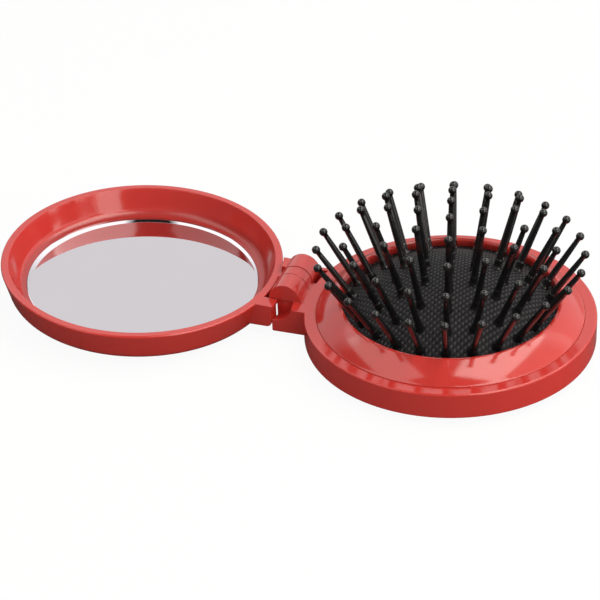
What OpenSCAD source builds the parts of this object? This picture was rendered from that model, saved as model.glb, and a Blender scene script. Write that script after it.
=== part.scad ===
// Pocket hairbrush with a folding mirror lid and a pop-up bristle cushion.
// Millimetres. Origin: centre of the push plate's flat underside. +Z goes up
// the bristles, the lid lies open towards -X and its hinge axis runs along Y.

/* [Node] */
// Which piece to draw

/* [Case] */
// Outer radius of the base and of the lid at the rim where they meet
rim_r = 32; // [24:0.1:45]
// Height of the base's red side wall
side_h = 6; // [4:0.1:12]
// Thickness of the base's side wall
side_t = 1.5; // [1:0.1:3]
// Rounding of the outer edges
edge_r = 0.4; // [0.1:0.05:1]
// Gap left between the closed rims
rim_gap = 0.2; // [0.05:0.05:0.6]
// Width of the flat lip outside the collar
lip_w = 2.69; // [2:0.01:5]

/* [Collar] */
// Width of the collar's band, from the lip to the opening
collar_w = 5.91; // [4:0.01:9]
// Rise of the collar's crest above the flat lip
collar_rise = 3.88; // [2:0.01:6]
// Wall of the collar
collar_t = 1.2; // [0.8:0.05:2]
// Rounding of the crest
crest_r = 0.8; // [0.3:0.05:1.2]
// Swell of the collar's slope beyond a straight cone
collar_swell = 0.22; // [0:0.02:0.6]
// Depth of the recess in the lip that the collar drops into
collar_seat = 0.7; // [0.4:0.05:1.2]
// Number of snap hooks under the collar
hook_n = 4; // [3:1:6]
// Reach of each snap hook
hook_reach = 0.6; // [0.3:0.05:1]

/* [Cushion and bristles] */
// Radius of the cushion's dome
pad_r = 38.3; // [30:0.1:70]
// Thickness of the rubber cushion
pad_t = 1.1; // [0.8:0.05:2]
// Height of the cushion's flat border above the rim
pad_border = 2.1; // [1:0.05:3]
// Width of the border and of the curve that joins it to the dome
pad_border_w = 1.8; // [1:0.05:4]
// Rise of that curve
pad_border_rise = 0.49; // [0.1:0.01:1.5]
// Thickness of the cushion's clamped edge
pad_edge_t = 1; // [0.6:0.05:2]
// Reach of the clamped edge behind the collar
pad_edge_w = 0.5; // [0.3:0.05:1.5]
// Cushion surface to ball centre
pin_len = 14.3; // [8:0.1:20]
// Outer ring of bristles to the collar's opening
ring_in = 2.38; // [1.5:0.01:5]
// Lean of each ring as a part of the outer ring's, evenly spread on the dome
ring_share = [0.267, 0.526, 0.778, 1];
// Bristles in the first ring, and the step from ring to ring
ring_step = 6; // [4:1:8]
// Turn of the whole bristle pattern
ring_turn = -76.6; // [-180:0.1:180]
// Diameter of the ball tip
ball_d = 1.85; // [1:0.05:3]
// Shaft diameter under the ball
shaft_tip_d = 1.1; // [0.7:0.05:2]
// Shaft diameter where the boot starts
shaft_root_d = 1.5; // [0.8:0.05:2.4]
// Diameter of the flared boot on the cushion
boot_d = 2.15; // [1.2:0.05:3]
// Height of the boot
boot_h = 2.6; // [1:0.1:5]
// Shank that passes through the rubber
shank_d = 1.2; // [0.6:0.05:1.8]
// Head under the rubber
head_d = 2.4; // [1.4:0.05:3]
// Thickness of that head
head_t = 0.6; // [0.3:0.05:1.2]
// Height of the ring that clamps the cushion
clamp_h = 1.25; // [0.8:0.05:3]
// Width of that ring
clamp_w = 2.3; // [1:0.05:4]
// Wall of the collar's tube round it
tube_t = 0.52; // [0.4:0.02:1.2]

/* [Push plate] */
// How far the plate stands out below the side wall
plate_stand = 1.6; // [0.4:0.1:4]
// Floor of the plate
plate_t = 1; // [0.8:0.1:2]
// Wall of the plate
plate_wall = 0.8; // [0.6:0.05:1.5]
// Rounding of the plate's lower edge
plate_round = 1.5; // [0.5:0.1:3]
// Width of the stop flange round the plate's top
plate_flange = 0.85; // [0.4:0.05:1.5]
// Thickness of the stop flange, and of the base's floor that it stops on
stop_t = 0.8; // [0.5:0.05:1.5]

/* [Clearances] */
// Between pieces that slide or turn past each other
slide_gap = 0.3; // [0.15:0.05:0.6]
// Between pieces that seat on each other
seat_gap = 0.05; // [0.02:0.01:0.15]
// Round the hinge pin in the lid's knuckle
pin_run = 0.05; // [0.02:0.01:0.1]
// Round the hinge pin in the base's knuckle
pin_hold = 0.02; // [0.01:0.01:0.05]

/* [Hinge] */
// Hinge axis to the outside of the case
hinge_out = 4.2; // [4:0.1:6]
// How far the open lid's far end is tipped up
lid_tip = 3.04; // [0:0.01:15]
// Radius of the hinge barrel
barrel_r = 3.65; // [2.5:0.05:4]
// Radius of the steel pin
pin_r = 0.8; // [0.5:0.05:1.5]
// Front end of the barrel's upper half
barrel_y0 = -5.86; // [-9:0.01:-4]
// How far the knuckle's lower half is set back behind that end
knuckle_step = 0.35; // [0.1:0.05:1]
// Depth of the blind bore behind that end
bore_in = 2.8; // [1:0.1:4]
// Height of the relief's floor below the axis at its front
relief_z = 3.1; // [2:0.05:4]
// Slope of the relief's floor
relief_a = 15; // [0:1:20]
// Where the base's knuckle ends
barrel_y2 = 2.5; // [1:0.1:4]
// Gap between the base's knuckle and the lid's
knuckle_gap = 0.3; // [0.1:0.05:0.5]
// Back end of the lid's knuckle
barrel_y3 = 8.1; // [6:0.1:10]
// Groove round the base's knuckle
groove_y = -0.55; // [-2:0.05:1.5]
// Front faces of the two hinge brackets
bracket_y = -9.4; // [-12:0.1:-8]
// Reach of the base's bracket past the hinge axis
bracket_x = 1.85; // [1:0.05:3]
// Gap between the two brackets with the lid open
stop_gap = 0.15; // [0.05:0.05:0.4]
// Depth of the lid's bracket below the lid's rim
lid_bracket_h = 5.4; // [3:0.1:8]
// Thickness of the tongue on top of the lid's bracket
lid_tongue_t = 1.1; // [0.8:0.1:2]
// Height of the lid's hinge web above the axis
web_z = 1.75; // [0.5:0.05:2.5]
// Width of the low part of that web
web_low = 1.6; // [0.8:0.1:3]

/* [Lid and mirror] */
// Outer depth of the lid
lid_depth = 8.25; // [6:0.05:14]
// Wall of the lid at its rim
lid_wall = 1.8; // [1:0.1:3]
// Rounding where the lid's wall turns into its back
lid_corner_r = 3; // [1:0.1:5]
// Inset of that rounding's centre from the rim
lid_corner_in = 4.3; // [2:0.1:8]
// How proud the flat of the back is of its rounded edge
lid_crown = 0.68; // [0:0.02:1.5]
// Inset of the flat of the back from the rim
lid_flat_in = 10; // [7:0.5:20]
// Inset of the mirror's edge from the rim
mirror_in = 5.7; // [4:0.1:12]
// Thickness of the mirror
mirror_t = 1.3; // [1:0.1:3]
// Depth of the mirror's face below the lid's rim
mirror_depth = 5.5; // [3:0.1:10]
// Width of the mirror's bevel
bevel_w = 1.5; // [0.5:0.1:4]
// Drop of the bevel
bevel_h = 0.4; // [0.1:0.05:0.8]
// Clearance round the mirror
mirror_gap = 0.15; // [0.05:0.05:0.5]
// Thickness of the adhesive disc behind the mirror
tape_t = 0.15; // [0.1:0.05:1]
// Margin of the adhesive disc inside the mirror's edge
tape_in = 2; // [1:0.5:8]

/* [Hidden] */
$fn = 96;
red = [0.78, 0.12, 0.09];
black = [0.05, 0.05, 0.055];
eps = 0.01;

// heights above the table
rim_z = plate_stand + side_h;
hinge_z = rim_z + rim_gap / 2;

// plan
hinge_off = rim_r + hinge_out;            // hinge axis to the centre of each half
mirror_r = rim_r - mirror_in;
lid_flat_r = rim_r - lid_flat_in;

// collar
collar_r = rim_r - lip_w;                 // seam between lip and collar
open_r = collar_r - collar_w;             // opening that the cushion domes through
seat_r = collar_r + seat_gap;             // recess it drops into
crest_a = 52;                             // where the slope meets the crest
crest_b = 176;                            // where the crest turns down
crest_c = [open_r + crest_r + 0.1, rim_z + collar_rise - crest_r];
foot = [collar_r - 0.15, rim_z + 0.2];    // where the slope starts
slope_end = crest_c + crest_r * [cos(crest_a), sin(crest_a)];
slope_a = atan2(slope_end.y - foot.y, foot.x - slope_end.x);
slope_v = collar_t / cos(slope_a);        // collar wall measured upright
function under_z(r) = slope_end.y - (r - slope_end.x) * tan(slope_a) - slope_v;
skirt_r1 = collar_r - 1.1;                // snap skirt, outside
skirt_r0 = skirt_r1 - collar_t;
ledge_r = skirt_r1 + 2 * seat_gap;        // ring's flange round the skirt
ledge_t = 1;
ledge_z1 = rim_z - collar_seat;
ledge_z0 = ledge_z1 - ledge_t;
hook_h = 0.8;

// cushion: one sphere's centre carries the rubber and all the ball tips
border_z = rim_z + pad_border;            // flat border, clamped all round
blend_r = open_r - pad_border_w;          // where the dome starts
pad_edge_r = open_r - 0.2;
dome_z = border_z + pad_border_rise - sqrt(pad_r * pad_r - blend_r * blend_r);
function dome_top(r, t) = dome_z + sqrt(pow(pad_r - t, 2) - r * r);
lean_max = asin((open_r - ring_in) / pad_r);
flange_z0 = border_z - pad_edge_t;
flange_r = open_r + pad_edge_w;
tube_r0 = flange_r + seat_gap * 1.6;      // bore that traps cushion and clamp
tube_r1 = tube_r0 + tube_t;
shoulder_z = border_z + seat_gap;
clamp_r1 = flange_r + seat_gap;
clamp_z1 = flange_z0 - seat_gap;
clamp_z0 = clamp_z1 - clamp_h;
hole_d = shank_d + 2 * seat_gap;

// push plate: a shallow cup round the collar's tube
cup_r0 = tube_r1 + slide_gap;
cup_r1 = cup_r0 + plate_wall;
floor_hole_r = cup_r1 + slide_gap;
cup_flange_r = cup_r1 + plate_flange;
cup_z1 = under_z(cup_flange_r) - slide_gap;

// lid, in its own frame: rim plane at z = 0, centred on its disc
mirror_seat = mirror_depth + mirror_t + tape_t;
mirror_edge = mirror_depth + bevel_h;
corner_c = [rim_r - lid_corner_in, -(lid_depth - lid_crown - lid_corner_r)];
lid_open_r = rim_r - lid_wall;
pocket_r = mirror_r + mirror_gap;

function arc(c, r, a0, a1, n) =
  [for (i = [0 : n]) c + r * [cos(a0 + (a1 - a0) * i / n), sin(a0 + (a1 - a0) * i / n)]];
// points after p up to q, swelled to the left of the way from p to q
function bow(p, q, s, n) = let (d = q - p, m = [-d.y, d.x] / norm(d))
  [for (i = [1 : n]) let (t = i / n) p + d * t + m * 4 * s * t * (1 - t)];

module along_y(y0, y1) {
  translate([0, y1, 0]) rotate([90, 0, 0]) linear_extrude(height = y1 - y0) children();
}
module at_hinge() { translate([-hinge_off, 0, hinge_z]) children(); }
// the lid as it lies open: its own frame has the hinge axis at its origin
module at_lid() { at_hinge() rotate([0, lid_tip, 0]) children(); }
module on_lid_disc() { at_lid() translate([-hinge_off, 0, -rim_gap / 2]) children(); }

// ---- base ring: side wall, lip with the collar's recess, floor round the plate
module base_ring_profile() {
  polygon(concat(
    [[floor_hole_r, plate_stand]],
    arc([rim_r - edge_r, plate_stand + edge_r], edge_r, -90, 0, 6),
    arc([rim_r - edge_r, rim_z - edge_r], edge_r, 0, 90, 6),
    [[seat_r, rim_z], [seat_r, ledge_z1], [ledge_r, ledge_z1], [ledge_r, ledge_z0],
     [rim_r - side_t - 0.6, ledge_z0], [rim_r - side_t, ledge_z0 - 0.6],
     [rim_r - side_t, plate_stand + stop_t], [floor_hole_r, plate_stand + stop_t]]));
}

// bracket seen along the hinge axis: full block under the base's own knuckle
module cradle_outline(top) {
  low = plate_stand - hinge_z;
  polygon([[-bracket_x, low + 0.2], [-bracket_x + 0.2, low], [hinge_out + side_t + 2, low],
    [hinge_out + side_t + 2, top], [-bracket_x, top]]);
}
// concave fillet between the barrel and the lip
module barrel_fillet() {
  rf = 1.2;
  top = -rim_gap / 2;
  cz = top + rf;
  cx = sqrt(pow(barrel_r + rf, 2) - cz * cz);
  difference() {
    translate([barrel_r * 0.8, top - 0.3]) square([cx - barrel_r * 0.8, cz * 0.62 + 0.3]);
    translate([cx, cz]) circle(r = rf);
  }
}

module base_hinge() {
  top = -rim_gap / 2;
  relief_r = barrel_r + slide_gap;
  at_hinge() difference() {
    union() {
      // block with the open relief at its front, its floor sloping inwards
      difference() {
        along_y(bracket_y, barrel_y2) cradle_outline(top);
        intersection() {
          translate([0.65 - bracket_x, bracket_y, relief_r - relief_z]) rotate([-relief_a, 0, 13])
            translate([0, -2, 0]) along_y(0, barrel_y0 - bracket_y + 6) circle(r = relief_r);
          along_y(bracket_y - 1, barrel_y0 + knuckle_step) translate([-3 * barrel_r, -3 * barrel_r]) square(6 * barrel_r);
        }
      }
      // shelf under the lid's knuckle
      along_y(barrel_y2 - 1, -bracket_y) cradle_outline(-barrel_r - slide_gap - 0.1);
      // rib behind the lid's knuckle
      along_y(barrel_y3 + knuckle_gap, -bracket_y) intersection() {
        cradle_outline(top);
        translate([barrel_r * 0.6, -2 * hinge_z]) square([2 * hinge_out, 3 * hinge_z]);
      }
      // knuckle: round above, cut off flush with the block below
      along_y(barrel_y0, barrel_y2) intersection() {
        circle(r = barrel_r);
        translate([-2 * barrel_r, top]) square([4 * barrel_r, 2 * barrel_r]);
      }
      along_y(barrel_y0 + knuckle_step, barrel_y2) intersection() {
        circle(r = barrel_r);
        translate([-bracket_x, -2 * barrel_r]) square([3 * barrel_r, 3 * barrel_r]);
      }
      along_y(barrel_y0, barrel_y2 - 1) barrel_fillet();
    }
    // witness groove round the knuckle
    along_y(groove_y - 0.1, groove_y + 0.1) difference() {
      translate([-barrel_r - 1, 0]) square([2 * barrel_r + 2, barrel_r + 1]);
      circle(r = barrel_r - 0.12);
    }
    // blind bore for the pin
    along_y(barrel_y0 + bore_in, barrel_y2 + 1) circle(r = pin_r + pin_hold);
    // the ring's own wall takes over from here
    translate([hinge_off, 0, -hinge_z - 1]) cylinder(r = rim_r - side_t / 2, h = hinge_z + barrel_r + 2);
  }
}

module base_ring() {
  color(red) union() {
    rotate_extrude() base_ring_profile();
    base_hinge();
  }
}

// ---- collar: domed band that frames the cushion and snaps into the ring
module collar_profile() {
  polygon(concat(
    [[collar_r, ledge_z1 + seat_gap / 2]],
    arc([collar_r - 0.15, foot.y - 0.15], 0.15, 0, 60, 3),
    [foot],
    bow(foot, slope_end, -collar_swell, 12),
    arc(crest_c, crest_r, crest_a + 8, crest_b, 12),
    [[open_r, shoulder_z + 0.8], [open_r, shoulder_z], [tube_r0, shoulder_z],
     [tube_r0, clamp_z0 - seat_gap], [tube_r1, clamp_z0 - seat_gap],
     [tube_r1, under_z(tube_r1)], [skirt_r0, under_z(skirt_r0)],
     [skirt_r0, ledge_z0 - hook_h], [skirt_r1, ledge_z0 - hook_h],
     [skirt_r1, ledge_z1 + seat_gap / 2]]));
}
module collar() {
  color(red) union() {
    rotate_extrude() collar_profile();
    for (i = [0 : hook_n - 1]) rotate([0, 0, 360 * i / hook_n + 33])
      rotate_extrude(angle = 24) polygon([
        [skirt_r1 - 0.3, ledge_z0 - hook_h],
        [skirt_r1 + 0.15, ledge_z0 - hook_h],
        [skirt_r1 + hook_reach, ledge_z0 - 0.25],
        [skirt_r1 + hook_reach, ledge_z0 - seat_gap],
        [skirt_r1 - 0.3, ledge_z0 - seat_gap]]);
  }
}

// ---- ring pressed up into the collar's tube, holding the cushion's edge
module cushion_clamp_ring() {
  color(red) rotate_extrude() polygon([
    [clamp_r1 - clamp_w, clamp_z0 + 0.3], [clamp_r1 + 0.3 - clamp_w, clamp_z0],
    [clamp_r1 - 0.26, clamp_z0], [clamp_r1, clamp_z0 + 0.26],
    [clamp_r1, clamp_z1], [clamp_r1 - clamp_w, clamp_z1]]);
}

// ---- rubber cushion: a dome of one thickness with a clamped edge
module rubber_cushion() {
  blend = [blend_r, dome_top(blend_r, 0)];
  color(black) difference() {
    union() {
      rotate_extrude() intersection() {
        translate([0, dome_z]) difference() {
          circle(r = pad_r);
          circle(r = pad_r - pad_t);
        }
        translate([0, flange_z0 - pad_t]) square([blend_r, pad_r]);
      }
      rotate_extrude() polygon(concat([[blend_r - 0.3, dome_top(blend_r - 0.3, pad_t * 0.9)],
        [blend_r - 0.3, dome_top(blend_r - 0.3, pad_t * 0.1)], blend],
        bow(blend, [pad_edge_r, border_z], -pad_border_rise * 0.24, 8),
        [[flange_r, border_z], [flange_r, flange_z0], [blend_r + pad_edge_w, flange_z0],
         [blend_r, dome_top(blend_r, pad_t)]]));
    }
    on_dome(0, 1) pin_hole();
    for (k = [0 : len(ring_share) - 1]) on_ring(k) pin_hole();
  }
}
module pin_hole() { translate([0, 0, -pad_t - 1]) cylinder(d = hole_d, h = pad_t + 2, $fn = 24); }

// n copies on one ring of the dome, each square to the rubber
module on_dome(lean, n) {
  for (i = [0 : n - 1])
    translate([0, 0, dome_z]) rotate([0, 0, ring_turn - 360 * i / n])
      rotate([0, lean, 0]) translate([0, 0, pad_r]) children();
}

module on_ring(k) { on_dome(lean_max * ring_share[k], ring_step * (k + 1)) children(); }

// ---- one bristle: head, shank, flared boot, tapered shaft and ball tip
module bristle() {
  rotate_extrude($fn = 24) union() {
    polygon([
      [0, -pad_t - seat_gap - head_t], [head_d / 2 - 0.15, -pad_t - seat_gap - head_t],
      [head_d / 2, -pad_t - seat_gap - head_t + 0.15], [head_d / 2, -pad_t - seat_gap],
      [shank_d / 2, -pad_t - seat_gap], [shank_d / 2, seat_gap],
      [boot_d / 2, seat_gap], [boot_d / 2 - 0.08, 0.45],
      [shaft_root_d / 2 + 0.1, boot_h * 0.7], [shaft_root_d / 2, boot_h],
      [shaft_tip_d / 2, pin_len - ball_d * 0.2], [0, pin_len - ball_d * 0.2]]);
    translate([0, pin_len]) intersection() {
      circle(d = ball_d, $fn = 24);
      translate([0, -ball_d]) square(2 * ball_d);
    }
  }
}
module bristle_centre() { color(black) on_dome(0, 1) bristle(); }
module bristles_ring_1() { color(black) on_ring(0) bristle(); }
module bristles_ring_2() { color(black) on_ring(1) bristle(); }
module bristles_ring_3() { color(black) on_ring(2) bristle(); }
module bristles_ring_4() { color(black) on_ring(3) bristle(); }

// ---- push plate: the cup under the cushion that pops it up
module push_plate() {
  color(red) rotate_extrude() polygon(concat(
    [[0, 0]],
    arc([cup_r1 - plate_round, plate_round], plate_round, -90, 0, 8),
    [[cup_r1, cup_z1 - stop_t], [cup_flange_r, cup_z1 - stop_t],
     [cup_flange_r, cup_z1 - 0.3], [cup_flange_r - 0.3, cup_z1], [cup_r0, cup_z1]],
    arc([cup_r0 - plate_round * 0.5, plate_t + plate_round * 0.5], plate_round * 0.5, 0, -90, 4),
    [[0, plate_t]]));
}

// ---- steel pin, pressed into the base's knuckle
module hinge_pin() {
  pin_y0 = barrel_y0 + bore_in + seat_gap;
  pin_y1 = barrel_y3 - 0.25;
  color([0.7, 0.7, 0.72]) at_hinge() translate([0, pin_y1, 0]) rotate([90, 0, 0])
    rotate_extrude($fn = 32) polygon([[0, 0], [pin_r - 0.15, 0], [pin_r, 0.15],
      [pin_r, pin_y1 - pin_y0 - 0.15], [pin_r - 0.15, pin_y1 - pin_y0], [0, pin_y1 - pin_y0]]);
}

// ---- lid: dished shell with the mirror's pocket, hinge web and stop bracket
module lid_profile() {
  inner_top = [lid_open_r, -0.15];
  inner_mid = [lid_open_r - (lid_open_r - pocket_r) * 0.45, -mirror_edge * 0.76];
  polygon(concat(
    [[0, -lid_depth], [lid_flat_r, -lid_depth]],
    arc(corner_c, lid_corner_r, -83, -11, 12),
    arc([rim_r - edge_r, -edge_r], edge_r, 0, 90, 6),
    [[lid_open_r + 0.15, 0], inner_top],
    bow(inner_top, inner_mid, 0.03, 3),
    bow(inner_mid, [pocket_r, -mirror_edge], 0.34, 8),
    [[pocket_r, -mirror_seat], [0, -mirror_seat]]));
}
// everything the lid carries at the hinge stays outside this cone
module lid_inside() {
  translate([-hinge_off, 0, -lid_depth]) cylinder(r1 = rim_r - lid_corner_in - 1.4, r2 = rim_r - lid_wall / 2, h = lid_depth);
  translate([-hinge_off, 0, -eps]) cylinder(r = rim_r - lid_wall / 2, h = 4);
}
module lid_hinge_parts() {
  top = -rim_gap / 2;
  root = -hinge_out - lid_wall - 1;          // inside the lid's wall
  y2 = barrel_y2 + knuckle_gap;
  face = (bracket_x + stop_gap) / cos(lid_tip);
  foot_r = 1.2;
  difference() {
    union() {
      // knuckle and the web that carries it
      along_y(y2, barrel_y3) circle(r = barrel_r);
      along_y(y2, barrel_y3) polygon([[root, top], [0, top], [0, -barrel_r],
        [-hinge_out - 0.3, -barrel_r], [root, -barrel_r - 0.6]]);
      // the web's raised part stays off the wall that it closes against
      difference() {
        along_y(y2 + web_low, barrel_y3) translate([root, top - 0.3])
          square([-root, web_z - top + 0.3]);
        translate([-hinge_off, 0, top]) cylinder(r = rim_r + slide_gap, h = web_z + 1);
      }
      // stop bracket, with a tongue on top that reaches over the base's block
      along_y(bracket_y, barrel_y0 - stop_gap) polygon(concat(
        [[root, top], [-face, top],
         [-face + (lid_bracket_h - foot_r) * tan(lid_tip), foot_r - lid_bracket_h]],
        arc([-face - foot_r + (lid_bracket_h - foot_r) * tan(lid_tip), foot_r - lid_bracket_h],
          foot_r, 0, -90, 6),
        [[root, -lid_bracket_h - 0.2]]));
      along_y(bracket_y, barrel_y0 - stop_gap) polygon([
        [root, top], [-face + 0.4, top],
        [-face + 0.4, top - lid_tongue_t * 0.8], [-face, top - lid_tongue_t],
        [root, top - lid_tongue_t]]);
    }
    lid_inside();
    along_y(y2 - 1, barrel_y3 + 1) circle(r = pin_r + pin_run);
  }
}
module lid_shell() {
  color(red) union() {
    on_lid_disc() rotate_extrude() lid_profile();
    at_lid() lid_hinge_parts();
  }
}

// ---- bevelled glass mirror and its adhesive disc
module mirror() {
  color([0.85, 0.87, 0.88]) on_lid_disc() rotate_extrude() polygon([
    [0, -mirror_depth - mirror_t], [mirror_r - 0.1, -mirror_depth - mirror_t],
    [mirror_r, -mirror_depth - mirror_t + 0.1], [mirror_r, -mirror_edge],
    [mirror_r - bevel_w, -mirror_depth], [0, -mirror_depth]]);
}
module mirror_tape() {
  color([0.9, 0.9, 0.88]) on_lid_disc() translate([0, 0, -mirror_seat])
    cylinder(r = mirror_r - tape_in, h = tape_t);
}

base_ring();
collar();
cushion_clamp_ring();
rubber_cushion();
bristle_centre();
bristles_ring_1();
bristles_ring_2();
bristles_ring_3();
bristles_ring_4();
push_plate();
hinge_pin();
lid_shell();
mirror();
mirror_tape();
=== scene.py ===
import bpy
import math
from mathutils import Matrix, Vector
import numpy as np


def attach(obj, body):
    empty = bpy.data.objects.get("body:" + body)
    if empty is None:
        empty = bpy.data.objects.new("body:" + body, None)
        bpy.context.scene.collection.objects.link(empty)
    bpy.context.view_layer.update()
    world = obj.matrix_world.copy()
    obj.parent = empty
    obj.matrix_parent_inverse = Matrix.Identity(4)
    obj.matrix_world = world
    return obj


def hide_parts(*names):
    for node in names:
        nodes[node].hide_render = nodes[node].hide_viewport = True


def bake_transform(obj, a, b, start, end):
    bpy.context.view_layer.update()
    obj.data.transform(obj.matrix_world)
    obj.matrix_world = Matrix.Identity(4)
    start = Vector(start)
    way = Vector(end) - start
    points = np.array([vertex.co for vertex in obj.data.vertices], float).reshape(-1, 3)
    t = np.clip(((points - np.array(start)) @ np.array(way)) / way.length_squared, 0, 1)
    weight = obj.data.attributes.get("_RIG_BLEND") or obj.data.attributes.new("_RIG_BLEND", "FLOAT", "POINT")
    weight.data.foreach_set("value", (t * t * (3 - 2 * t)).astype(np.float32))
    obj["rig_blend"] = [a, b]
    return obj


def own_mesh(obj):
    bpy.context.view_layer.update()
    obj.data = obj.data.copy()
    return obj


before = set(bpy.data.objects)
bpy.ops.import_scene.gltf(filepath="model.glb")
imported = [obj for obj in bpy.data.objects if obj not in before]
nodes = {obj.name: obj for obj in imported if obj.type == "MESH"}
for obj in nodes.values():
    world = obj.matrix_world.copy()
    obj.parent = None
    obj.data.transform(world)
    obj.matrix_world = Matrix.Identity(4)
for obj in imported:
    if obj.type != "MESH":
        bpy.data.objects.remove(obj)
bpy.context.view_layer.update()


# ---- Camera -------------------------------------------------------------
# A long lens above the front right of the open brush, tilted a little, as
# fitted to the two rims, the mirror, the collar and the ball tips.
camera_lens_mm = 132.75
camera_at = (0.10749, -0.39078, 0.27291)
camera_turn_deg = (57.117, 2.0539, 18.6645)

camera = bpy.data.objects.new("camera", bpy.data.cameras.new("camera"))
camera.data.lens = camera_lens_mm
camera.data.sensor_width = 36.0
camera.data.clip_start = 0.02
camera.location = camera_at
camera.rotation_euler = [math.radians(a) for a in camera_turn_deg]
bpy.context.scene.collection.objects.link(camera)
bpy.context.scene.camera = camera
bpy.context.scene.view_settings.view_transform = "Standard"


# ---- Studio -------------------------------------------------------------
# A table that the camera sees as white, in a dim room with a pale back wall
# and a grey curtain behind the camera. The mirror and the tops of the
# mouldings see the wall, their fronts don't. Five soft lamps light the brush.
room_light = 0.29             # what the room gives as light
room_seen = 0.12              # what gloss and glass see of the room
curtain_seen = 0.34           # of the curtain
wall_seen = 0.95              # of the wall behind the brush
wall_top_seen = 1.60          # of its brightest part, just under its upper edge
dark_seen = 0.02              # of the dark strip above that edge
wall_way = (-0.29, 0.957, 0.0)
wall_slant = (-0.078, 0.0, 1.0)
wall_sides = (0.15, 0.45)     # cosines between which the wall comes in
curtain_sides = (-0.75, -0.30)
wall_rises = (0.60, 0.66, 0.7548, 0.7558, 0.80)    # sines of the heights of its shades
curtain_rises = (0.24, 0.30, 0.66, 0.72)
table_half = 1.6
table_drop = -0.0002          # keeps it clear of the base's flat underside
table_white = 0.9
table_glow = 0.94             # share of the table's white that takes no shadow
table_grey = 0.42             # what lights the object from the table
table_painted_light_seen = (0.12, 0.40)     # what gloss sees of it: near, and at the far right, where it is painted brighter as a pool of light
table_way = (0.5, 0.866, 0.0)
table_reach = (0.0, 0.14)


def tree_tools(tree):
    def add(kind, **values):
        node = tree.nodes.new(kind)
        for key, value in values.items():
            setattr(node, key, value)
        return node

    def join(a, a_out, b, b_in):
        tree.links.new(a.outputs[a_out], b.inputs[b_in])

    return add, join


def node_tree(tree):
    tree.nodes.clear()
    return tree_tools(tree)


def grey(value):
    return (value, value, value, 1.0)


def spread(add, join, source, output, low, high, to_low, to_high, smooth=True):
    """Map Range node from low..high to to_low..to_high."""
    node = add("ShaderNodeMapRange", interpolation_type="SMOOTHSTEP" if smooth else "LINEAR")
    for label, value in (("From Min", low), ("From Max", high), ("To Min", to_low), ("To Max", to_high)):
        node.inputs[label].default_value = value
    join(source, output, node, "Value")
    return node


def shades(add, join, source, output, stops):
    """Color Ramp node through the stops, each a position and a grey."""
    node = add("ShaderNodeValToRGB")
    (first, dark), *between, (last, light) = stops
    ends = node.color_ramp.elements
    ends[0].position, ends[0].color = first, grey(dark)
    ends[1].position, ends[1].color = last, grey(light)
    for position, value in between:
        ends.new(position).color = grey(value)
    join(source, output, node, "Fac")
    return node, "Color"


def mixed(add, join, factor, a, b):
    """Mix node from a to b. Each is a (node, socket) pair, and a and b may be colours instead."""
    node = add("ShaderNodeMix", data_type="RGBA")
    for label, source in (("Factor", factor), ("A", a), ("B", b)):
        if isinstance(source[0], bpy.types.Node):
            join(source[0], source[1], node, label)
        else:
            node.inputs[label].default_value = source
    return node, "Result"


def seen_in_gloss(add, join, rays):
    """1 for what glossy and clear surfaces see, 0 for light and for the camera."""
    node = add("ShaderNodeMath", operation="ADD", use_clamp=True)
    join(rays, "Is Glossy Ray", node, 0)
    join(rays, "Is Transmission Ray", node, 1)
    return node, 0


world = bpy.data.worlds.new("room")
bpy.context.scene.world = world
world.use_nodes = True
add, join = node_tree(world.node_tree)
way = add("ShaderNodeTexCoord")
height = add("ShaderNodeVectorMath", operation="DOT_PRODUCT")
height.inputs[1].default_value = wall_slant
join(way, "Generated", height, 0)
behind = add("ShaderNodeVectorMath", operation="DOT_PRODUCT")
behind.inputs[1].default_value = wall_way
join(way, "Generated", behind, 0)
wall = shades(add, join, height, "Value", list(zip(
    wall_rises, (wall_seen, wall_top_seen, wall_top_seen, dark_seen, dark_seen))) + [(1.0, room_seen)])
curtain = shades(add, join, height, "Value", list(zip(
    curtain_rises, (room_seen, curtain_seen, curtain_seen, room_seen))))
in_wall = spread(add, join, behind, "Value", *wall_sides, 0.0, 1.0)
in_curtain = spread(add, join, behind, "Value", *curtain_sides, 1.0, 0.0)
ahead = mixed(add, join, (in_curtain, "Result"), grey(room_seen), curtain)
seen = mixed(add, join, (in_wall, "Result"), ahead, wall)
rays = add("ShaderNodeLightPath")
level = mixed(add, join, seen_in_gloss(add, join, rays), grey(room_light), seen)
white = mixed(add, join, (rays, "Is Camera Ray"), level, grey(1.0))
room = add("ShaderNodeBackground")
join(*white, room, "Color")
out = add("ShaderNodeOutputWorld")
join(room, "Background", out, "Surface")

table = bpy.data.objects.new("table", bpy.data.meshes.new("table"))
table.data.from_pydata(
    [(-table_half, -table_half, 0), (table_half, -table_half, 0),
     (table_half, table_half, 0), (-table_half, table_half, 0)],
    [], [(0, 1, 2, 3)])
table.location.z = table_drop
bpy.context.scene.collection.objects.link(table)
paint = bpy.data.materials.new("table_paint")
paint.use_nodes = True
add, join = node_tree(paint.node_tree)
rays = add("ShaderNodeLightPath")
place = add("ShaderNodeTexCoord")
far = add("ShaderNodeVectorMath", operation="DOT_PRODUCT")
far.inputs[1].default_value = table_way
join(place, "Object", far, 0)
# painted light: gloss sees the table brighter towards the far right
dim = spread(add, join, far, "Value", *table_reach, *table_painted_light_seen)
reflected = mixed(add, join, seen_in_gloss(add, join, rays), grey(table_grey), (dim, "Result"))
tint = mixed(add, join, (rays, "Is Camera Ray"), reflected, grey(table_white))
matt = add("ShaderNodeBsdfDiffuse")
join(*tint, matt, "Color")
glow = add("ShaderNodeEmission")
glow.inputs["Strength"].default_value = 1.0
share = add("ShaderNodeMath", operation="MULTIPLY")
share.inputs[1].default_value = table_glow
join(rays, "Is Camera Ray", share, 0)
mix = add("ShaderNodeMixShader")
join(share, 0, mix, "Fac")
join(matt, 0, mix, 1)
join(glow, 0, mix, 2)
out = add("ShaderNodeOutputMaterial")
join(mix, 0, out, "Surface")
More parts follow.
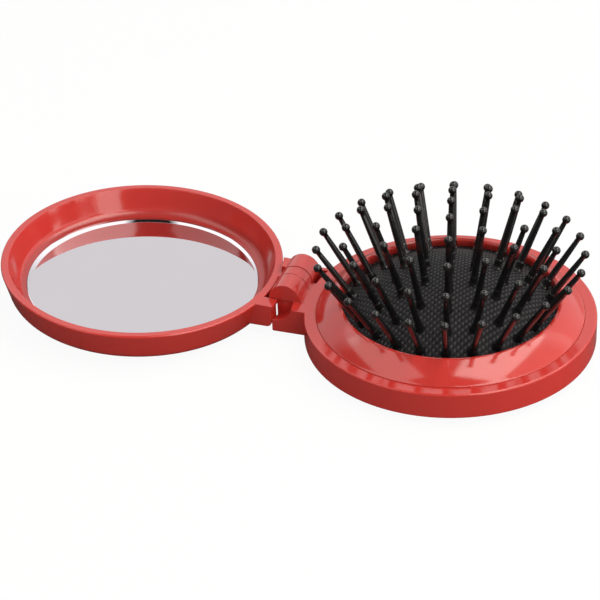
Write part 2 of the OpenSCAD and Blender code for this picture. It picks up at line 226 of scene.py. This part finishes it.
table.data.materials.append(paint)


lamp_colour = (1.0, 0.955, 0.895)
brush_middle = (0.0, 0.0, 0.01)
lid_side = (-0.03, 0.0, 0.01)


def softbox(name, place, aim, width, height, watts):
    lamp = bpy.data.lights.new(name, "AREA")
    lamp.shape = "RECTANGLE"
    lamp.size, lamp.size_y, lamp.energy = width, height, watts
    lamp.color = lamp_colour
    holder = bpy.data.objects.new(name, lamp)
    holder.location = place
    holder.rotation_euler = (Vector(aim) - Vector(place)).to_track_quat("-Z", "Y").to_euler()
    bpy.context.scene.collection.objects.link(holder)


# overhead on the right: the broad reflection on the collar's front right
softbox("key", (0.25, 0.03, 0.57), brush_middle, 0.66, 0.38, 3.0)
# overhead on the left: the paler one on the collar's front left
softbox("top", (-0.32, -0.15, 0.485), brush_middle, 0.60, 0.30, 0.85)
# tall, right of the camera: the bright patch on the lid's inside wall
softbox("front", (0.46, -0.44, 0.26), (-0.05, 0.0, 0.01), 0.25, 0.62, 1.15)
# a wide white card on the right: fills the lid's far wall and the collar's right
softbox("card", (0.86, 0.18, 0.47), lid_side, 1.1, 0.75, 1.9)
# a low wide one on the right: warms the walls that face it
softbox("side", (0.88, -0.12, 0.17), lid_side, 0.85, 0.28, 1.7)


# ---- Red case -----------------------------------------------------------
# Five mouldings in one glossy orange-red plastic: the base ring, the collar
# that snaps into it, the ring that clamps the cushion, the push plate and
# the lid. Their shapes are the construction's own.
case_red = (0.60, 0.042, 0.032, 1.0)
case_red_deep = (0.56, 0.034, 0.028, 1.0)
case_parts = ("base_ring", "collar", "cushion_clamp_ring", "push_plate")
red_gloss, red_rub, red_peel = 0.12, 0.05, 0.00001
red_edge = 0.00022            # the soft radius on every moulded edge
lid_pocket_middle = (-0.07206, 0.0, 0.00402)
pocket_radii = (0.0278, 0.0288)    # where the lid's wall turns in to the mirror
# the darker red painted into that band as shade; then its added roughness and the share of painted shade
pocket_painted_shade_red = (0.34, 0.016, 0.012, 1.0)
pocket_dull, pocket_painted_shade = 0.16, 0.75
smooth_below_deg = 34


def new_group(name, inputs, outputs):
    group = bpy.data.node_groups.new(name, "ShaderNodeTree")
    for label, kind, value in inputs:
        socket = group.interface.new_socket(label, in_out="INPUT", socket_type=kind)
        if value is not None:
            socket.default_value = value
    for label, kind in outputs:
        group.interface.new_socket(label, in_out="OUTPUT", socket_type=kind)
    add, join = node_tree(group)
    return group, add, join, add("NodeGroupInput"), add("NodeGroupOutput")


# What every polished moulding shows: slow flow marks in its colour, a faint
# orange peel, and hairline rubs that dull the gloss.
moulding, add, join, given, made = new_group(
    "moulded_skin",
    [("Vector", "NodeSocketVector", None),
     ("Flow Size", "NodeSocketFloat", 60.0),
     ("Peel Size", "NodeSocketFloat", 900.0),
     ("Gloss", "NodeSocketFloat", 0.16),
     ("Rub", "NodeSocketFloat", 0.06)],
    [("Flow", "NodeSocketFloat"), ("Roughness", "NodeSocketFloat"), ("Height", "NodeSocketFloat")])
flow = add("ShaderNodeTexNoise")
flow.inputs["Detail"].default_value = 3.0
flow.inputs["Distortion"].default_value = 1.2
join(given, "Vector", flow, "Vector")
join(given, "Flow Size", flow, "Scale")
join(flow, "Fac", made, "Flow")
peel = add("ShaderNodeTexNoise")
peel.inputs["Detail"].default_value = 2.0
join(given, "Vector", peel, "Vector")
join(given, "Peel Size", peel, "Scale")
join(peel, "Fac", made, "Height")
stretch = add("ShaderNodeMapping")
stretch.inputs["Rotation"].default_value = (0.3, 0.2, 0.7)
stretch.inputs["Scale"].default_value = (3000.0, 140.0, 400.0)
join(given, "Vector", stretch, "Vector")
rub = add("ShaderNodeTexNoise")
rub.inputs["Scale"].default_value = 1.0
rub.inputs["Detail"].default_value = 4.0
join(stretch, "Vector", rub, "Vector")
lines = add("ShaderNodeMapRange")
lines.inputs["From Min"].default_value = 0.58
lines.inputs["From Max"].default_value = 0.78
join(rub, "Fac", lines, "Value")
dull = add("ShaderNodeMath", operation="MULTIPLY_ADD")
join(lines, "Result", dull, 0)
join(given, "Rub", dull, 1)
join(given, "Gloss", dull, 2)
join(dull, 0, made, "Roughness")


def new_material(name):
    material = bpy.data.materials.new(name)
    material.use_nodes = True
    add, join = node_tree(material.node_tree)
    shader = add("ShaderNodeBsdfPrincipled")
    out = add("ShaderNodeOutputMaterial")
    join(shader, "BSDF", out, "Surface")
    return material, add, join, shader


def moulded(name, light, deep, gloss, rub, peel_height, flow_size=60.0, peel_size=900.0, edge=0.0):
    material, add, join, shader = new_material(name)
    place = add("ShaderNodeTexCoord")
    skin = add("ShaderNodeGroup", node_tree=moulding)
    skin.inputs["Flow Size"].default_value = flow_size
    skin.inputs["Peel Size"].default_value = peel_size
    skin.inputs["Gloss"].default_value = gloss
    skin.inputs["Rub"].default_value = rub
    join(place, "Object", skin, "Vector")
    tint = mixed(add, join, (skin, "Flow"), deep, light)
    join(*tint, shader, "Base Color")
    join(skin, "Roughness", shader, "Roughness")
    bump = add("ShaderNodeBump")
    bump.inputs["Strength"].default_value = 0.35
    bump.inputs["Distance"].default_value = peel_height
    join(skin, "Height", bump, "Height")
    if edge:
        soft = add("ShaderNodeBevel", samples=6)
        soft.inputs["Radius"].default_value = edge
        join(soft, "Normal", bump, "Normal")
    join(bump, "Normal", shader, "Normal")
    return material, shader


red_plastic, shader = moulded("red_plastic", case_red, case_red_deep,
                              red_gloss, red_rub, red_peel, edge=red_edge)
shader.inputs["IOR"].default_value = 1.66
shader.inputs["Subsurface Weight"].default_value = 0.12
shader.inputs["Subsurface Radius"].default_value = (0.0016, 0.0004, 0.0002)
shader.inputs["Subsurface Scale"].default_value = 1.0

# joins the construction's facets and shades them smooth up to a set angle
smoothing = bpy.data.node_groups.new("smooth_moulding", "GeometryNodeTree")
smoothing.is_modifier = True
smoothing.interface.new_socket("Geometry", in_out="INPUT", socket_type="NodeSocketGeometry")
below = smoothing.interface.new_socket("Below", in_out="INPUT", socket_type="NodeSocketFloat")
smoothing.interface.new_socket("Geometry", in_out="OUTPUT", socket_type="NodeSocketGeometry")
add, join = node_tree(smoothing)
given, made = add("NodeGroupInput"), add("NodeGroupOutput")
weld = add("GeometryNodeMergeByDistance")
weld.inputs["Distance"].default_value = 2e-6
bend = add("GeometryNodeInputMeshEdgeAngle")
sharp = add("FunctionNodeCompare", data_type="FLOAT", operation="LESS_EQUAL")
join(given, "Below", sharp, "B")
faces = add("GeometryNodeSetShadeSmooth", domain="FACE")
edges = add("GeometryNodeSetShadeSmooth", domain="EDGE")
join(given, "Geometry", weld, "Geometry")
join(weld, "Geometry", faces, "Geometry")
join(faces, "Geometry", edges, "Geometry")
join(bend, "Unsigned Angle", sharp, "A")
join(sharp, "Result", edges, "Shade Smooth")
join(edges, "Geometry", made, "Geometry")


def finish_node(name, material, below_deg=smooth_below_deg):
    part = nodes[name]
    part.data.materials.clear()
    part.data.materials.append(material)
    smooth = part.modifiers.new("smooth", "NODES")
    smooth.node_group = smoothing
    smooth[below.identifier] = math.radians(below_deg)
    flats = part.modifiers.new("flats", "WEIGHTED_NORMAL")
    flats.keep_sharp = True


for name in case_parts:
    finish_node(name, red_plastic)

# the lid's wall turns in to the mirror over a duller band, with painted shade darkening its red there
lid_plastic = red_plastic.copy()
lid_plastic.name = "lid_plastic"
add, join = tree_tools(lid_plastic.node_tree)
kept = lid_plastic.node_tree.nodes
shader = kept["Principled BSDF"]
place = add("ShaderNodeTexCoord")
reach = add("ShaderNodeVectorMath", operation="DISTANCE")
reach.inputs[1].default_value = lid_pocket_middle
join(place, "Object", reach, 0)
satin = spread(add, join, reach, "Value", *pocket_radii, pocket_dull, 0.0)
dull = add("ShaderNodeMath", operation="ADD")
join(satin, "Result", dull, 0)
join(kept["Group"], "Roughness", dull, 1)
join(dull, 0, shader, "Roughness")
# painted shade: the red darkens towards the mirror's edge, where the wall turns in
painted_pocket_shade = spread(add, join, reach, "Value", *pocket_radii, pocket_painted_shade, 0.0)
shade = mixed(add, join, (painted_pocket_shade, "Result"), (kept["Mix"], "Result"), pocket_painted_shade_red)
join(*shade, shader, "Base Color")
finish_node("lid_shell", lid_plastic)


# ---- Mirror -------------------------------------------------------------
# A round of bevelled glass, silvered behind, on a foam disc in the lid. The
# glass is thick, so the silver shows what lies lower than its face would, and
# the bevel turns what it shows upwards.
mirror_middle = lid_pocket_middle           # of the face, in the open lid
mirror_up = (0.05303, 0.0, 0.99859)
away = (-0.259, 0.966, 0.0)                 # the way that the glass is looked through
silver_radius = 0.0258                      # inside the bevel
silver_shift = 0.0019
silver_tilt_deg = 4.7
silver_edge = 0.00004
bevel_tilt_deg = 7.5
silver_tones = ((0.650, 0.616, 0.643, 1.0), (0.672, 0.637, 0.665, 1.0))
mirror_smooth_deg = 8
foam_tones = ((0.74, 0.74, 0.72, 1.0), (0.82, 0.82, 0.80, 1.0))

glass, add, join, shader = new_material("mirror_glass")
shader.inputs["Metallic"].default_value = 1.0
place = add("ShaderNodeTexCoord")
offset = add("ShaderNodeVectorMath", operation="SUBTRACT")
offset.inputs[1].default_value = mirror_middle
join(place, "Object", offset, 0)
outwards = add("ShaderNodeVectorMath", operation="NORMALIZE")
join(offset, "Vector", outwards, 0)
shifted = add("ShaderNodeVectorMath", operation="ADD")
shifted.inputs[1].default_value = [silver_shift * a for a in away]
join(offset, "Vector", shifted, 0)
reach = add("ShaderNodeVectorMath", operation="LENGTH")
join(shifted, "Vector", reach, 0)
in_bevel = spread(add, join, reach, "Value",
                  silver_radius - silver_edge, silver_radius + silver_edge, 0.0, 1.0)
bevel = add("ShaderNodeVectorMath", operation="MULTIPLY_ADD")
bevel.inputs[1].default_value = (-math.tan(math.radians(bevel_tilt_deg)),) * 3
bevel.inputs[2].default_value = mirror_up
join(outwards, "Vector", bevel, 0)
lean = math.tan(math.radians(silver_tilt_deg))
face = add("ShaderNodeMix", data_type="VECTOR")
face.inputs["A"].default_value = [up + lean * a for up, a in zip(mirror_up, away)]
join(in_bevel, "Result", face, "Factor")
join(bevel, "Vector", face, "B")
turned = add("ShaderNodeVectorTransform", vector_type="NORMAL", convert_from="OBJECT", convert_to="WORLD")
join(face, "Result", turned, "Vector")
join(turned, "Vector", shader, "Normal")
smear = add("ShaderNodeTexNoise")
smear.inputs["Scale"].default_value = 55.0
smear.inputs["Detail"].default_value = 6.0
join(place, "Object", smear, "Vector")
haze = spread(add, join, smear, "Fac", 0.55, 0.80, 0.0, 0.02)
join(haze, "Result", shader, "Roughness")
join(*mixed(add, join, (smear, "Fac"), *silver_tones), shader, "Base Color")
finish_node("mirror", glass, mirror_smooth_deg)

foam, add, join, shader = new_material("tape_foam")
shader.inputs["Roughness"].default_value = 0.9
place = add("ShaderNodeTexCoord")
cells = add("ShaderNodeTexVoronoi")
cells.inputs["Scale"].default_value = 2500.0
join(place, "Object", cells, "Vector")
join(*mixed(add, join, (cells, "Distance"), *foam_tones), shader, "Base Color")
finish_node("mirror_tape", foam)


# ---- Hinge pin ----------------------------------------------------------
# Drawn steel wire, pressed into the base's knuckle and turning in the lid's.
steel, add, join, shader = new_material("pin_steel")
shader.inputs["Metallic"].default_value = 1.0
shader.inputs["Base Color"].default_value = (0.55, 0.55, 0.56, 1.0)
place = add("ShaderNodeTexCoord")
draw = add("ShaderNodeMapping")
draw.inputs["Scale"].default_value = (9000.0, 60.0, 9000.0)
join(place, "Object", draw, "Vector")
streak = add("ShaderNodeTexNoise")
streak.inputs["Scale"].default_value = 1.0
join(draw, "Vector", streak, "Vector")
gloss = add("ShaderNodeMapRange")
gloss.inputs["To Min"].default_value = 0.22
gloss.inputs["To Max"].default_value = 0.42
join(streak, "Fac", gloss, "Value")
join(gloss, "Result", shader, "Roughness")
finish_node("hinge_pin", steel)


# ---- Rubber cushion -----------------------------------------------------
# One dome of black rubber, moulded with a fine woven emboss and clamped at
# its flat border. It turns inside out as the closing lid presses it down.
dome_radius = 0.0383
dome_middle = -0.02144        # height of the dome's centre
border_height = 0.0097
border_rise = 0.00049
blend_radius = 0.0216         # where the dome runs into the border
edge_radius = 0.0232
flange_radius = 0.0239
rubber = 0.0011
flange = 0.001
pin_rings = ((0, 0.0), (6, 0.267), (12, 0.526), (18, 0.778), (24, 1.0))
lean_most = math.asin((0.0234 - 0.00238) / dome_radius)
ring_turn_deg = -76.6
seat_swell = 0.00016          # the rubber swells round each bristle's foot
seat_spread = 0.0013
weave_pitch = 0.000742
weave_turn = -0.227
weave_depth = 0.0003
weave_shade_and_highlight = ((0.0050, 0.0048, 0.0056, 1.0), (0.060, 0.057, 0.061, 1.0))    # painted shade in the gaps, painted highlight on the crowns
dust_tone = (0.022, 0.022, 0.024, 1.0)

pins = []                     # (ring, number, turn, lean)
for ring, (count, share) in enumerate(pin_rings):
    for number in range(max(count, 1)):
        turn = math.radians(ring_turn_deg - 360.0 * number / max(count, 1))
        pins.append((ring, number, turn, lean_most * share))


def shade_smooth(mesh, below_deg=40):
    mesh.shade_smooth()
    mesh.set_sharp_from_angle(angle=math.radians(below_deg))


def lathe(name, outline, around):
    """A closed turned form: outline is (radius, height) pairs from the axis round to the axis again."""
    points, rings = [], []
    for radius, height in outline:
        if radius == 0.0:
            rings.append([len(points)])
            points.append((0.0, 0.0, height))
        else:
            rings.append(list(range(len(points), len(points) + around)))
            points += [(radius * math.cos(2 * math.pi * k / around),
                        radius * math.sin(2 * math.pi * k / around), height)
                       for k in range(around)]
    quads = []
    for low, high in zip(rings, rings[1:]):
        for k in range(around):
            m = (k + 1) % around
            corners = [low[k % len(low)], low[m % len(low)], high[m % len(high)], high[k % len(high)]]
            quads.append(list(dict.fromkeys(corners)))
    mesh = bpy.data.meshes.new(name)
    mesh.from_pydata(points, [], quads)
    mesh.validate()
    return mesh


def new_piece(name, mesh, material):
    piece = bpy.data.objects.new(name, mesh)
    mesh.materials.append(material)
    bpy.context.scene.collection.objects.link(piece)
    return piece


def dome_height(radius, depth=0.0):
    return dome_middle + math.sqrt((dome_radius - depth) ** 2 - radius ** 2)


top = [(0.0, dome_height(0.0))]
steps = 56
for k in range(1, steps + 1):
    radius = blend_radius * k / steps
    top.append((radius, dome_height(radius)))
swell = border_rise * 0.24
for k in range(1, 9):
    t = k / 8
    radius = blend_radius + (edge_radius - blend_radius) * t
    height = dome_height(blend_radius) + (border_height - dome_height(blend_radius)) * t
    top.append((radius - swell * t * (1 - t), height - 4 * swell * t * (1 - t)))
under = [(flange_radius, border_height), (flange_radius, border_height - flange),
         (blend_radius + 0.0005, border_height - flange)]
for k in range(steps, 0, -4):
    radius = blend_radius * k / steps
    under.append((radius, dome_height(radius, rubber)))
under.append((0.0, dome_height(0.0, rubber)))
mesh = lathe("cushion", list(reversed(top + under)), 240)
feet = [Vector((dome_radius * math.sin(lean) * math.cos(turn),
                dome_radius * math.sin(lean) * math.sin(turn),
                dome_middle + dome_radius * math.cos(lean))) for _, _, turn, lean in pins]
for vertex in mesh.vertices:
    radius = math.hypot(vertex.co.x, vertex.co.y)
    if radius < blend_radius and abs(vertex.co.z - dome_height(radius)) < 1e-6:
        near = min((vertex.co - foot).length for foot in feet)
        vertex.co.z += seat_swell * math.exp(-(near / seat_spread) ** 2)
shade_smooth(mesh, 50)

# Woven emboss: strands at right angles that pass over and under each other.
weave, add, join, given, made = new_group(
    "woven_emboss",
    [("Vector", "NodeSocketVector", None), ("Pitch", "NodeSocketFloat", 0.0006),
     ("Turn", "NodeSocketFloat", 0.7)],
    [("Height", "NodeSocketFloat"), ("Crown", "NodeSocketFloat")])


def step(operation, *sources):
    """One Math node; each source is a number or a (node, socket) pair."""
    node = add("ShaderNodeMath", operation=operation)
    for index, source in enumerate(sources):
        if isinstance(source, tuple):
            join(source[0], source[1], node, index)
        else:
            node.inputs[index].default_value = source
    return node, 0


spin = add("ShaderNodeVectorRotate", rotation_type="Z_AXIS")
join(given, "Vector", spin, "Vector")
join(given, "Turn", spin, "Angle")
parts = add("ShaderNodeSeparateXYZ")
join(spin, "Vector", parts, "Vector")
across = step("DIVIDE", (parts, "X"), (given, "Pitch"))
along = step("DIVIDE", (parts, "Y"), (given, "Pitch"))


def strand(side, length):
    """Height of the strands that run along length: round across, arched over every other crossing."""
    round_part = step("ABSOLUTE", step("SINE", step("MULTIPLY", side, math.pi)))
    row = step("FLOOR", side)
    phase = step("MULTIPLY", step("ADD", length, row), math.pi)
    arch = step("MULTIPLY_ADD", step("SINE", phase), 0.5, 0.5)
    return step("MULTIPLY", step("POWER", round_part, 0.6), arch)


warp = strand(across, along)
weft = strand(along, step("ADD", across, 1.0))
# the crowns line up slantwise, and a fine ridge joins them that way
slant = step("COSINE", step("MULTIPLY", step("SUBTRACT", across, along), math.pi))
ridge = step("POWER", step("MULTIPLY_ADD", slant, 0.5, 0.5), 4.0)
tallest = step("MAXIMUM", step("MAXIMUM", warp, step("MULTIPLY", weft, 0.7)), step("MULTIPLY", ridge, 0.6))
join(*tallest, made, "Height")
# where the colour gets its painted highlight and the gloss is highest: the warp crowns, faintly the weft and
# the slant ridges
lit = step("MAXIMUM", warp, step("MAXIMUM", step("MULTIPLY", weft, 0.2), step("MULTIPLY", ridge, 0.62)))
crown = step("POWER", lit, 1.7)
join(*crown, made, "Crown")

rubber_black, add, join, shader = new_material("cushion_rubber")
shader.inputs["Specular IOR Level"].default_value = 0.22
place = add("ShaderNodeTexCoord")
cloth = add("ShaderNodeGroup", node_tree=weave)
cloth.inputs["Pitch"].default_value = weave_pitch
cloth.inputs["Turn"].default_value = weave_turn
join(place, "Object", cloth, "Vector")
grain = add("ShaderNodeTexNoise")
grain.inputs["Scale"].default_value = 5200.0
grain.inputs["Detail"].default_value = 3.0
join(place, "Object", grain, "Vector")
dust = add("ShaderNodeTexNoise")
dust.inputs["Scale"].default_value = 110.0
dust.inputs["Detail"].default_value = 5.0
join(place, "Object", dust, "Vector")
# painted highlight on the crowns and painted shade in the gaps, under a film of dust
painted_weave_light = mixed(add, join, (cloth, "Crown"), *weave_shade_and_highlight)
film = spread(add, join, dust, "Fac", 0.35, 0.75, 0.0, 0.25)
join(*mixed(add, join, (film, "Result"), painted_weave_light, dust_tone), shader, "Base Color")
shine = spread(add, join, cloth, "Crown", 0.0, 1.0, 0.62, 0.28)
join(shine, "Result", shader, "Roughness")
relief = add("ShaderNodeMath", operation="MULTIPLY_ADD")
relief.inputs[1].default_value = 0.12
join(grain, "Fac", relief, 0)
join(cloth, "Height", relief, 2)
bump = add("ShaderNodeBump")
bump.inputs["Strength"].default_value = 1.0
bump.inputs["Distance"].default_value = weave_depth
join(relief, 0, bump, "Height")
join(bump, "Normal", shader, "Normal")

cushion = new_piece("cushion", mesh, rubber_black)
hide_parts("rubber_cushion")
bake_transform(cushion, "base", "pad", start=(0.0, 0.0, border_height), end=(0.0, 0.0, dome_height(0.0)))


def sink(radius):
    """Share of the full travel that the rubber makes at this distance from its middle."""
    t = max(0.0, 1.0 - (radius / blend_radius) ** 2)
    return t * t * (3 - 2 * t)


# both faces of the rubber sink alike, so its thickness stays as it is
weights = cushion.data.attributes["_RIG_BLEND"]
for vertex, weight in zip(cushion.data.vertices, weights.data):
    weight.value = sink(math.hypot(vertex.co.x, vertex.co.y))


# ---- Bristles -----------------------------------------------------------
# Sixty-one turned pins in polished black nylon: a ball tip, a tapered shaft,
# a sleeve with a flared foot, and a shank and head that button through the
# rubber. The pad carries the centre pin and two inner rings, the base the rest.
pin_length = 0.0143           # rubber to the ball's centre
ball = 0.000925
outline = [
    (0.0, -0.00175), (0.00105, -0.00175), (0.0012, -0.0016), (0.0012, -0.00115),
    (0.0006, -0.00115), (0.0006, 0.00005), (0.00112, 0.00005), (0.00116, 0.00014),
    (0.00111, 0.00026), (0.00098, 0.00048), (0.00089, 0.00085), (0.00086, 0.00130),
    (0.00086, 0.00205), (0.00084, 0.00222), (0.00078, 0.00230), (0.00075, 0.00260),
    (0.00070, 0.0060), (0.00063, 0.0100), (0.00056, 0.0128)]
first = math.asin(0.00054 / ball)
for k in range(13):
    a = -math.pi / 2 + first + (math.pi - first) * k / 12
    outline.append((0.0 if k == 12 else ball * math.cos(a), pin_length + ball * math.sin(a)))

nylon, shader = moulded("bristle_nylon", (0.010, 0.0095, 0.010, 1.0), (0.004, 0.004, 0.0045, 1.0),
                        0.10, 0.02, 0.000002, flow_size=500.0, peel_size=2600.0)
shader.inputs["IOR"].default_value = 1.53
shader.inputs["Coat Weight"].default_value = 0.15
shader.inputs["Coat Roughness"].default_value = 0.02
shader.inputs["Coat IOR"].default_value = 1.6

# body that carries each ring, how far its roots and its tips sink below that
# body's own travel, and how much of that is inwards
ring_folds = (
    ("pad", 0.0, 0.0, 0.0),
    ("pad", -0.0006, -0.0003, 0.0),
    ("pad", -0.0036, -0.0016, 0.0),
    ("base", 0.0067, 0.0136, 0.07),
    ("base", 0.0001, 0.0122, 0.56))
for ring, number, turn, lean in pins:
    name = "bristle_%d_%02d" % (ring, number + 1)
    body, root_sink, tip_sink, inwards = ring_folds[ring]
    mesh = lathe(name, outline, 28)
    mesh.transform(Matrix.Translation((0.0, 0.0, dome_middle)) @ Matrix.Rotation(turn, 4, "Z")
                   @ Matrix.Rotation(lean, 4, "Y") @ Matrix.Translation((0.0, 0.0, dome_radius)))
    shade_smooth(mesh, 50)
    pin = new_piece(name, mesh, nylon)
    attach(pin, body)
    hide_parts("bristles_ring_%d" % ring if ring else "bristle_centre")
    if ring:
        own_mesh(pin)
